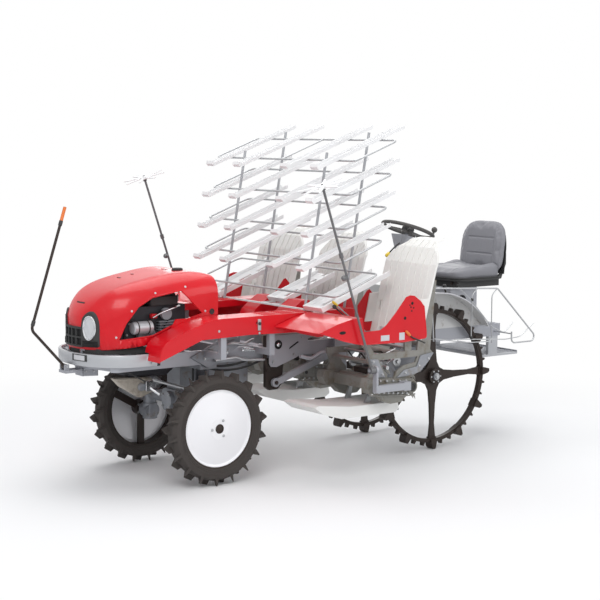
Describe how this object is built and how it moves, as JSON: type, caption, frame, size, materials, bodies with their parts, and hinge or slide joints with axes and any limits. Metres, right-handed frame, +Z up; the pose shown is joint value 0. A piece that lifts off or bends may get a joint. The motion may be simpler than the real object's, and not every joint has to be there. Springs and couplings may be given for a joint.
{
  "type": "rice transplanter",
  "caption": "Riding rice transplanter with double planting units slung between lugged front and rear wheels, a spare seedling rack and a rear seat.",
  "frame": {"origin": "on the floor below the middle of the machine's length and width", "axes": "+X to the machine's left, +Y to its rear, +Z up"},
  "size_m": [2.14, 3.4202, 2.028],
  "materials": {
    "red_paint": "gloss red",
    "silver_paint": "satin silver",
    "frame_grey": "satin grey",
    "cast_alloy": "as-cast grey",
    "dark_steel": "dark brown-black",
    "wheel_white": "gloss white",
    "tyre_rubber": "matt rubber",
    "white_plastic": "satin white",
    "platform_white": "satin off-white",
    "black_plastic": "satin black",
    "engine_black": "dull dark grey",
    "zinc_rod": "zinc plated",
    "seat_vinyl": "grey vinyl",
    "lamp_glass": "clear domed lens",
    "float_plastic": "white, brown with dried mud on top"
  },
  "bodies": {
    "chassis": {"main_frame": "frame_grey", "front_axle": "cast_alloy", "gearbox": "cast_alloy", "rear_axle": "cast_alloy", "engine": "engine_black", "bumper": "silver_paint", "footboards": "red_paint", "rear_fenders": "silver_paint", "step_plate": "silver_paint", "seat_post": "frame_grey", "seat_base": "black_plastic", "seat": "seat_vinyl", "steering_column": "frame_grey", "rack_posts": "dark_steel", "rack_loops": "zinc_rod", "rack_rails": "white_plastic", "feed_chutes": "white_plastic", "wire_carrier": "zinc_rod", "link_brackets": "frame_grey", "link_shields": "frame_grey"},
    "bonnet": {"bonnet": "red_paint", "headlamp_bezels": "black_plastic", "headlamps": "lamp_glass"},
    "front_pole": {"front_pole": "dark_steel"},
    "steering_wheel": {"steering_wheel": "black_plastic"},
    "knuckle_left": {"knuckle_left": "cast_alloy"},
    "knuckle_right": {"knuckle_right": "cast_alloy"},
    "tie_rod": {"tie_rod": "zinc_rod"},
    "lift_arms": {"lift_arms": "frame_grey"},
    "lower_links": {"lower_links": "frame_grey"},
    "planting_section": {"planting_beam": "frame_grey", "planting_cases": "cast_alloy", "unit_frames": "cast_alloy", "tray_platforms": "platform_white", "unit_cowls": "red_paint", "side_covers": "red_paint", "floats": "float_plastic", "float_links": "zinc_rod", "planting_arms": "cast_alloy", "unit_shafts": "zinc_rod"},
    "front_wheel_left": {"front_tyre_left": "tyre_rubber", "front_rim_left": "dark_steel", "front_disc_left": "wheel_white"},
    "rear_wheel_left": {"rear_wheel_left": "dark_steel"},
    "marker_left": {"marker_rod_left": "dark_steel"},
    "marker_wheel_left": {"marker_wheel_left": "white_plastic"},
    "front_wheel_right": {"front_tyre_right": "tyre_rubber", "front_rim_right": "dark_steel", "front_disc_right": "wheel_white"},
    "rear_wheel_right": {"rear_wheel_right": "dark_steel"},
    "marker_right": {"marker_rod_right": "dark_steel"},
    "marker_wheel_right": {"marker_wheel_right": "white_plastic"}
  },
  "joints": [
    {"name": "bonnet_lid", "type": "hinge", "parent": "chassis", "child": "bonnet", "pos_m": [0, -1.435, 0.782], "axis": [1, 0, 0], "range_deg": [0, 50]},
    {"name": "pole_fold", "type": "hinge", "parent": "chassis", "child": "front_pole", "pos_m": [0, -1.508, 0.686], "axis": [1, 0, 0], "range_deg": [0, 60]},
    {"name": "steering_wheel_turn", "type": "hinge", "parent": "chassis", "child": "steering_wheel", "pos_m": [0, 0.972, 1.362], "axis": [0, 0.342, 0.9397], "range_deg": [-270, 270]},
    {"name": "lift", "type": "hinge", "parent": "chassis", "child": "lift_arms", "pos_m": [0, -0.295, 0.71], "axis": [1, 0, 0], "range_deg": [-43, 0]},
    {"name": "lower_link_swing", "type": "hinge", "parent": "chassis", "child": "lower_links", "pos_m": [0, -0.295, 0.525], "axis": [1, 0, 0], "range_deg": [-43, 0]},
    {"name": "planting_section_level", "type": "hinge", "parent": "lift_arms", "child": "planting_section", "pos_m": [0, 0.15885, 0.86627], "axis": [1, 0, 0], "range_deg": [0, 43]},
    {"name": "steer_left", "type": "hinge", "parent": "chassis", "child": "knuckle_left", "pos_m": [0.3, -0.78, 0.436], "axis": [0, 0, 1], "range_deg": [-36, 36]},
    {"name": "front_wheel_roll_left", "type": "hinge", "parent": "knuckle_left", "child": "front_wheel_left", "pos_m": [0.41, -0.78, 0.325], "axis": [1, 0, 0], "continuous": true},
    {"name": "rear_wheel_roll_left", "type": "hinge", "parent": "chassis", "child": "rear_wheel_left", "pos_m": [0.337, 0.898, 0.463], "axis": [1, 0, 0], "continuous": true},
    {"name": "marker_fold_left", "type": "hinge", "parent": "planting_section", "child": "marker_left", "pos_m": [0.935, -0.075, 0.655], "axis": [0, 1, 0], "range_deg": [0, 92]},
    {"name": "marker_wheel_spin_left", "type": "hinge", "parent": "marker_left", "child": "marker_wheel_left", "pos_m": [0.935, -0.43573, 1.70263], "axis": [0, -0.3256, 0.9455], "continuous": true},
    {"name": "steer_right", "type": "hinge", "parent": "chassis", "child": "knuckle_right", "pos_m": [-0.3, -0.78, 0.436], "axis": [0, 0, 1], "range_deg": [-36, 36]},
    {"name": "front_wheel_roll_right", "type": "hinge", "parent": "knuckle_right", "child": "front_wheel_right", "pos_m": [-0.41, -0.78, 0.325], "axis": [1, 0, 0], "continuous": true},
    {"name": "rear_wheel_roll_right", "type": "hinge", "parent": "chassis", "child": "rear_wheel_right", "pos_m": [-0.337, 0.898, 0.463], "axis": [1, 0, 0], "continuous": true},
    {"name": "marker_fold_right", "type": "hinge", "parent": "planting_section", "child": "marker_right", "pos_m": [-0.935, -0.075, 0.655], "axis": [0, -1, 0], "range_deg": [0, 92]},
    {"name": "marker_wheel_spin_right", "type": "hinge", "parent": "marker_right", "child": "marker_wheel_right", "pos_m": [-0.935, -0.43573, 1.70263], "axis": [0, -0.3256, 0.9455], "continuous": true},
    {"name": "tie_rod_swing", "type": "hinge", "parent": "knuckle_left", "child": "tie_rod", "pos_m": [0.3, -0.89, 0.542], "axis": [0, 0, 1], "range_deg": [-36, 36]}
  ],
  "couplings": [
    {"joint": "lower_link_swing", "follows": "lift", "ratio": 1},
    {"joint": "planting_section_level", "follows": "lift", "ratio": -1},
    {"joint": "steer_left", "follows": "steering_wheel_turn", "ratio": 0.13333},
    {"joint": "steer_right", "follows": "steering_wheel_turn", "ratio": 0.13333},
    {"joint": "tie_rod_swing", "follows": "steering_wheel_turn", "ratio": -0.13333}
  ]
}
